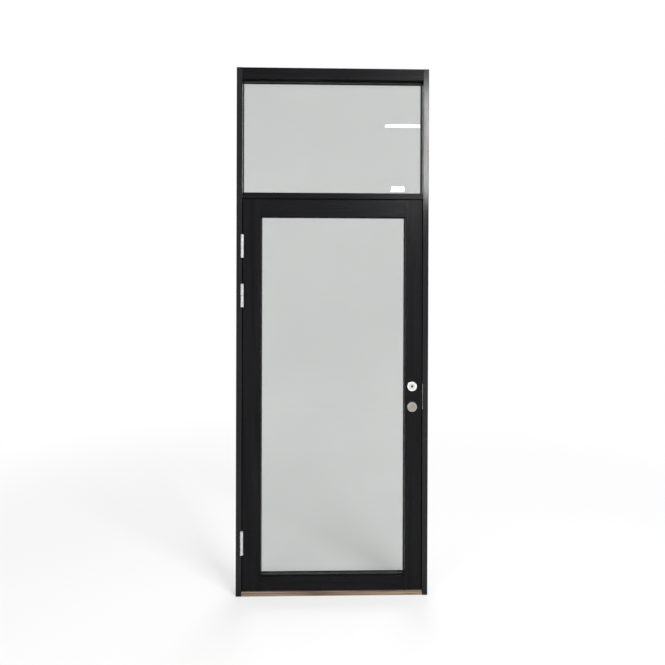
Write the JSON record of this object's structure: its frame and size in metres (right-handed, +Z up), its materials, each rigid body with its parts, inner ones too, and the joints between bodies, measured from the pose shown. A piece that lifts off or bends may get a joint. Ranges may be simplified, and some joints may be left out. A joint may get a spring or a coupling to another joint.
{
  "type": "glazed timber door with frame",
  "caption": "Black timber door frame with a fixed top light and a side-hung, fully glazed leaf on lift-off hinges, with a mortice lock and no handle fitted.",
  "frame": {"origin": "centre of the door's footprint, at the underside of the sill", "axes": "+Z up, +X from the hinge side to the lock side, +Y from the opening side to the room side"},
  "size_m": [0.98, 0.1084, 2.69],
  "materials": {
    "black_paint": "satin black paint on planed timber, brushed lightly along the grain",
    "sill_hardwood": "oiled grey-brown hardwood with open grain",
    "sill_aluminium": "mill-finished extrusion",
    "glass": "clear insulated glass",
    "seal_rubber": "black extruded rubber",
    "spacer_black": "warm-edge spacer with its sealant",
    "block_plastic": "hard plastic",
    "zinc_steel": "bright zinc-plated steel",
    "washer_brass": "brass",
    "lock_steel": "zinc-plated and ground steel",
    "box_plastic": "black plastic",
    "satin_nickel": "satin nickel plate",
    "rose_zinc": "pale die-cast zinc"
  },
  "bodies": {
    "frame": {"jamb_left": "black_paint", "jamb_right": "black_paint", "head": "black_paint", "transom": "black_paint", "sill_timber": "sill_hardwood", "sill_rail": "sill_aluminium", "door_seal": "seal_rubber", "hinge_top_frame_half": "zinc_steel", "hinge_middle_frame_half": "zinc_steel", "hinge_bottom_frame_half": "zinc_steel", "hinge_pins": "zinc_steel", "hinge_washers": "washer_brass", "strike_plate": "zinc_steel", "strike_box": "box_plastic", "toplight_pane_front": "glass", "toplight_pane_back": "glass", "toplight_spacer": "spacer_black", "toplight_blocks": "block_plastic", "toplight_gasket_front": "seal_rubber", "toplight_gasket_back": "seal_rubber", "toplight_bead_top": "black_paint", "toplight_bead_bottom": "black_paint", "toplight_bead_left": "black_paint", "toplight_bead_right": "black_paint"},
    "leaf": {"stile_hinge": "black_paint", "stile_lock": "black_paint", "rail_top": "black_paint", "rail_bottom": "black_paint", "hinge_top_leaf_half": "zinc_steel", "hinge_middle_leaf_half": "zinc_steel", "hinge_bottom_leaf_half": "zinc_steel", "lock_case": "lock_steel", "lock_cover": "lock_steel", "lock_forend": "lock_steel", "rosette_front": "rose_zinc", "rosette_back": "rose_zinc", "cylinder_ring": "satin_nickel", "lock_cylinder": "satin_nickel", "cylinder_plug": "satin_nickel", "thumb_turn_rose": "satin_nickel", "leaf_pane_front": "glass", "leaf_pane_back": "glass", "leaf_spacer": "spacer_black", "leaf_blocks": "block_plastic", "leaf_gasket_front": "seal_rubber", "leaf_gasket_back": "seal_rubber", "leaf_bead_top": "black_paint", "leaf_bead_bottom": "black_paint", "leaf_bead_left": "black_paint", "leaf_bead_right": "black_paint"},
    "follower": {"handle_hub": "lock_steel"},
    "latch": {"latch_bolt": "lock_steel"},
    "deadbolt": {"deadbolt": "lock_steel"},
    "thumb_turn": {"bolt_cam": "lock_steel", "thumb_turn": "satin_nickel"}
  },
  "joints": [
    {"name": "leaf_swing", "type": "hinge", "parent": "frame", "child": "leaf", "pos_m": [-0.459, -0.0463, 0], "axis": [0, 0, -1], "range_deg": [0, 180]},
    {"name": "latch_slide", "type": "slide", "parent": "leaf", "child": "latch", "axis": [1, 0, 0], "range_m": [0, 0.012]},
    {"name": "follower_turn", "type": "hinge", "parent": "leaf", "child": "follower", "pos_m": [0.407, 0, 1.07], "axis": [0, 1, 0], "range_deg": [0, 40]},
    {"name": "deadbolt_slide", "type": "slide", "parent": "leaf", "child": "deadbolt", "axis": [1, 0, 0], "range_m": [0, 0.018]},
    {"name": "knob_turn", "type": "hinge", "parent": "leaf", "child": "thumb_turn", "pos_m": [0.407, 0, 0.965], "axis": [0, 1, 0], "range_deg": [0, 90]}
  ],
  "couplings": [
    {"joint": "follower_turn", "follows": "latch_slide", "rad_per_m": 58.17},
    {"joint": "knob_turn", "follows": "deadbolt_slide", "rad_per_m": 87.26}
  ]
}
